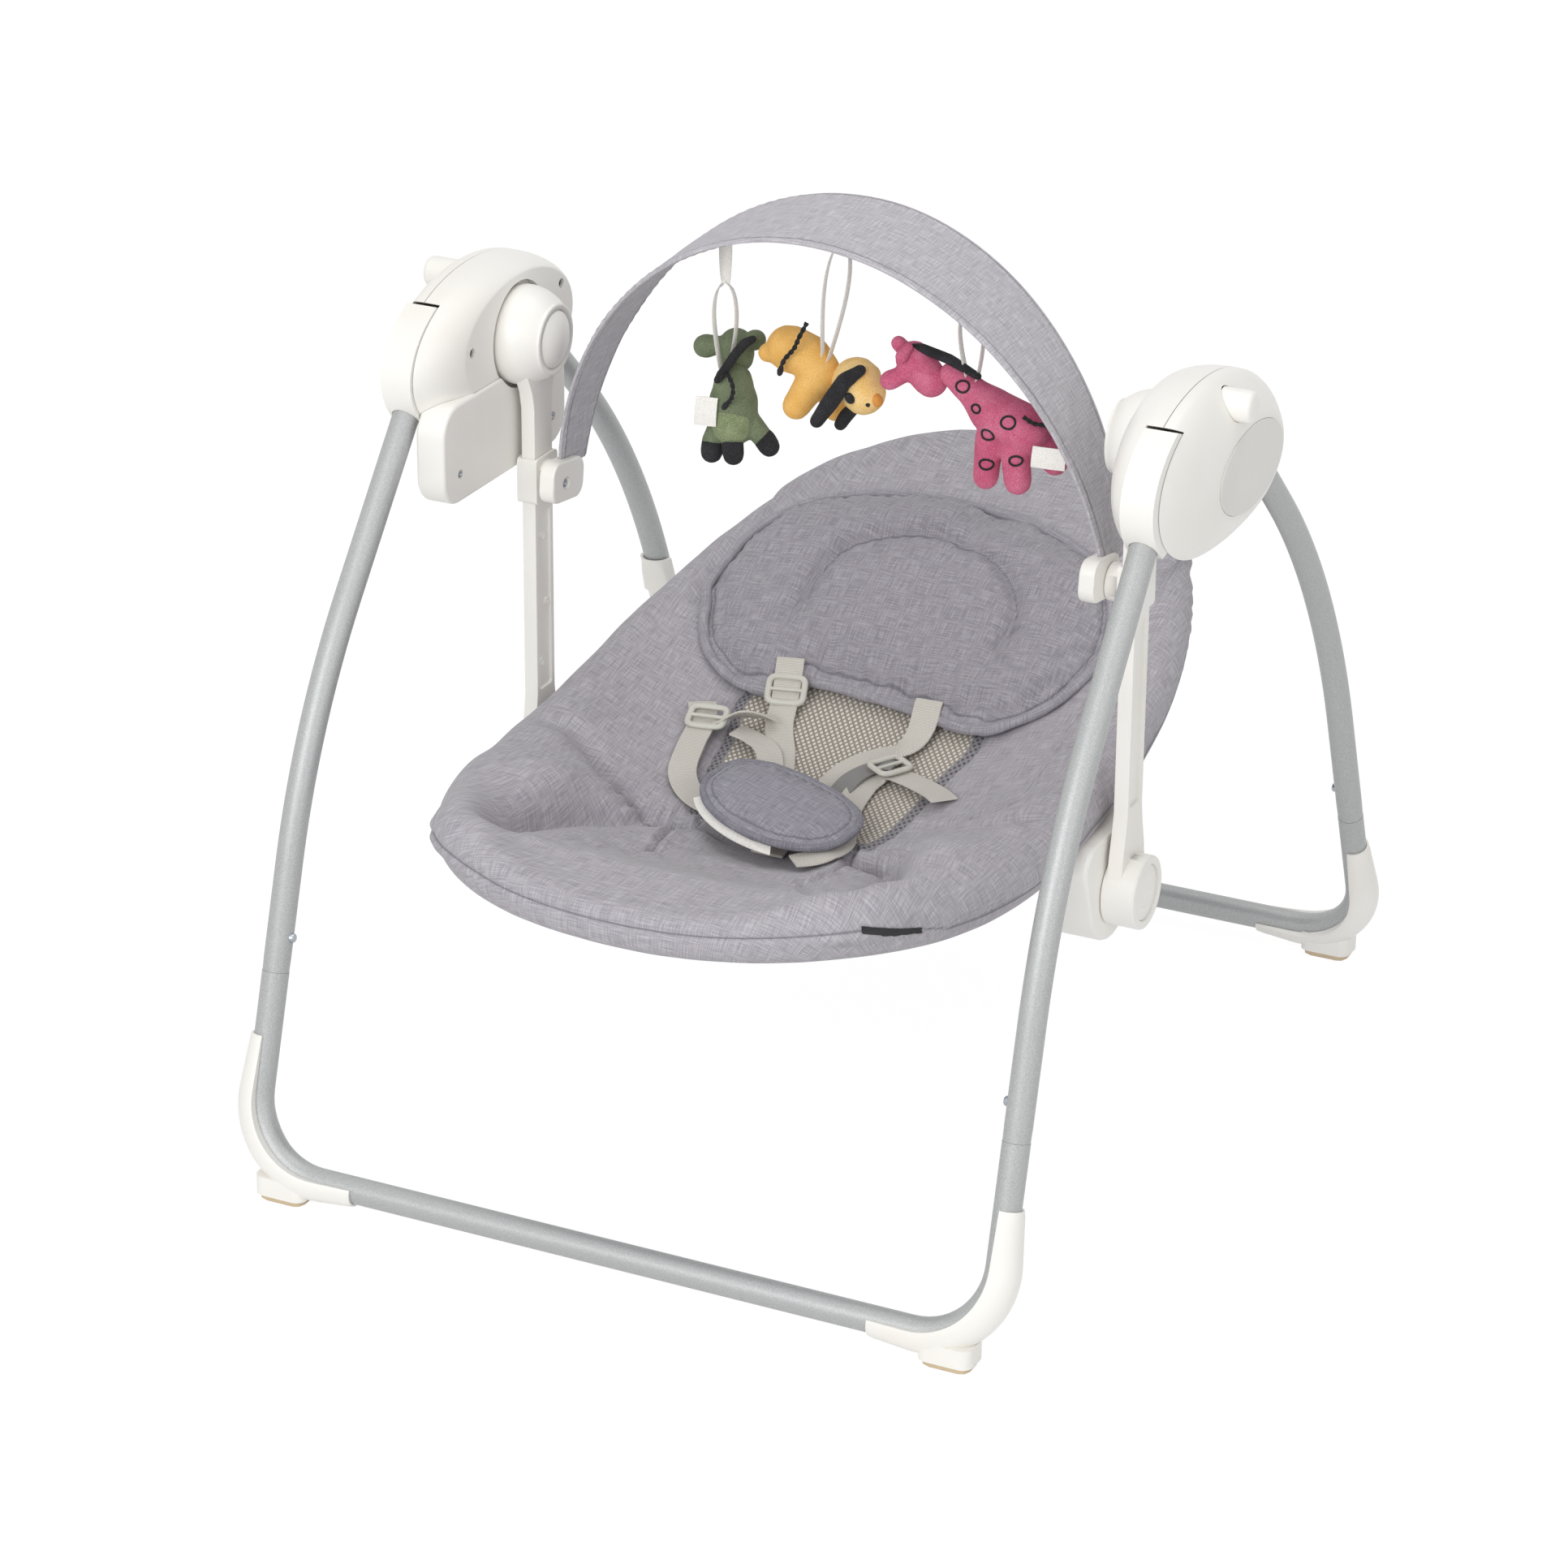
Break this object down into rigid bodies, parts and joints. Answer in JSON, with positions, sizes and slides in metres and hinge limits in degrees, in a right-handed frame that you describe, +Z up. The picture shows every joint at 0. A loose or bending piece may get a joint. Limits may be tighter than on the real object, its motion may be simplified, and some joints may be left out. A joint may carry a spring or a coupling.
{
  "type": "electric baby swing",
  "caption": "Electric baby swing with a folding tubular frame, a padded reclining seat with a harness, and a toy bar with hanging plush animals",
  "frame": {"origin": "on the floor, midway between the four feet", "axes": "+Z up, the baby looks towards -Y, the control panel and the motor are on the -X side"},
  "size_m": [0.624, 0.7249, 0.6535],
  "materials": {
    "silver_paint": "matt silver powder coat",
    "white_plastic": "satin moulded plastic",
    "grey_panel": "fine matt moulding",
    "steel": "zinc-plated steel",
    "motor": "dull metal can",
    "rubber": "soft matt rubber",
    "key": "soft-touch membrane",
    "seat_fabric": "melange woven polyester over padding",
    "webbing": "woven webbing",
    "grey_plastic": "moulded plastic",
    "green_plush": "short-pile plush",
    "yellow_plush": "short-pile plush",
    "pink_plush": "short-pile plush"
  },
  "bodies": {
    "stand": {"rear_floor_tube": "silver_paint", "rear_leg_left": "silver_paint", "rear_leg_right": "silver_paint", "rear_foot_left": "white_plastic", "rear_foot_right": "white_plastic", "rear_pad_left": "rubber", "rear_pad_right": "rubber", "housing_outer_left": "white_plastic", "housing_outer_right": "white_plastic", "housing_inner_left": "white_plastic", "housing_inner_right": "white_plastic", "control_panel": "grey_panel", "side_panel": "grey_panel", "motor_box": "white_plastic", "gear_motor": "motor", "leg_clip": "white_plastic"},
    "power_key": {"power_key": "key"},
    "music_key": {"music_key": "key"},
    "fold_button_left": {"fold_button_left": "white_plastic"},
    "fold_button_right": {"fold_button_right": "white_plastic"},
    "front_frame": {"front_floor_tube": "silver_paint", "front_leg_left": "silver_paint", "front_leg_right": "silver_paint", "front_foot_left": "white_plastic", "front_foot_right": "white_plastic", "front_pad_left": "rubber", "front_pad_right": "rubber", "front_knuckle_left": "white_plastic", "front_knuckle_right": "white_plastic"},
    "swing": {"swing_arm_left": "white_plastic", "swing_arm_right": "white_plastic", "hub_cap_left": "white_plastic", "hub_cap_right": "white_plastic", "hub_axle_left": "steel", "hub_axle_right": "steel", "toy_clamp_left": "white_plastic", "toy_clamp_right": "white_plastic"},
    "recline_button_left": {"recline_button_left": "white_plastic"},
    "recline_button_right": {"recline_button_right": "white_plastic"},
    "seat": {"seat_back_tube": "silver_paint", "seat_front_tube": "silver_paint", "seat_bracket_left": "white_plastic", "seat_bracket_right": "white_plastic", "seat_pad": "seat_fabric", "head_pillow": "seat_fabric", "crotch_pad": "seat_fabric", "buckle": "grey_plastic", "harness_strap_left": "webbing", "harness_strap_right": "webbing"},
    "toy_bar": {"toy_bar_band": "seat_fabric", "toy_bar_end_left": "white_plastic", "toy_bar_end_right": "white_plastic"},
    "donkey": {"donkey_body": "green_plush", "donkey_head": "green_plush"},
    "puppy": {"puppy_body": "yellow_plush", "puppy_head": "yellow_plush"},
    "giraffe": {"giraffe_body": "pink_plush", "giraffe_head": "pink_plush"}
  },
  "joints": [
    {"name": "front_fold", "type": "hinge", "parent": "stand", "child": "front_frame", "pos_m": [0, -0.017, 0.531], "axis": [1, 0, 0], "range_deg": [0, 58]},
    {"name": "swing", "type": "hinge", "parent": "stand", "child": "swing", "pos_m": [0, -0.017, 0.531], "axis": [1, 0, 0], "range_deg": [-18, 18]},
    {"name": "seat_recline", "type": "hinge", "parent": "swing", "child": "seat", "pos_m": [0, -0.017, 0.201], "axis": [1, 0, 0], "range_deg": [-12, 12]},
    {"name": "toy_bar_tilt", "type": "hinge", "parent": "swing", "child": "toy_bar", "pos_m": [0, -0.018, 0.427], "axis": [1, 0, 0], "range_deg": [-75, 75]},
    {"name": "donkey_hang", "type": "hinge", "parent": "toy_bar", "child": "donkey", "pos_m": [-0.0815, -0.01566, 0.62401], "axis": [1, 0, 0], "range_deg": [-30, 30]},
    {"name": "puppy_hang", "type": "hinge", "parent": "toy_bar", "child": "puppy", "pos_m": [0.0093, -0.01672, 0.64616], "axis": [1, 0, 0], "range_deg": [-30, 30]},
    {"name": "giraffe_hang", "type": "hinge", "parent": "toy_bar", "child": "giraffe", "pos_m": [0.1025, -0.015, 0.61074], "axis": [1, 0, 0], "range_deg": [-30, 30]},
    {"name": "fold_button_left_press", "type": "slide", "parent": "stand", "child": "fold_button_left", "axis": [1, 0, 0], "range_m": [0, 0.005], "stiffness_N_per_m": 1200},
    {"name": "fold_button_right_press", "type": "slide", "parent": "stand", "child": "fold_button_right", "axis": [-1, 0, 0], "range_m": [0, 0.005], "stiffness_N_per_m": 1200},
    {"name": "recline_button_left_press", "type": "slide", "parent": "swing", "child": "recline_button_left", "axis": [1, 0, 0], "range_m": [0, 0.0035], "stiffness_N_per_m": 1200},
    {"name": "recline_button_right_press", "type": "slide", "parent": "swing", "child": "recline_button_right", "axis": [-1, 0, 0], "range_m": [0, 0.0035], "stiffness_N_per_m": 1200},
    {"name": "power_key_press", "type": "slide", "parent": "stand", "child": "power_key", "axis": [1, 0, 0], "range_m": [0, 0.002], "stiffness_N_per_m": 600},
    {"name": "music_key_press", "type": "slide", "parent": "stand", "child": "music_key", "axis": [1, 0, 0], "range_m": [0, 0.002], "stiffness_N_per_m": 600}
  ]
}
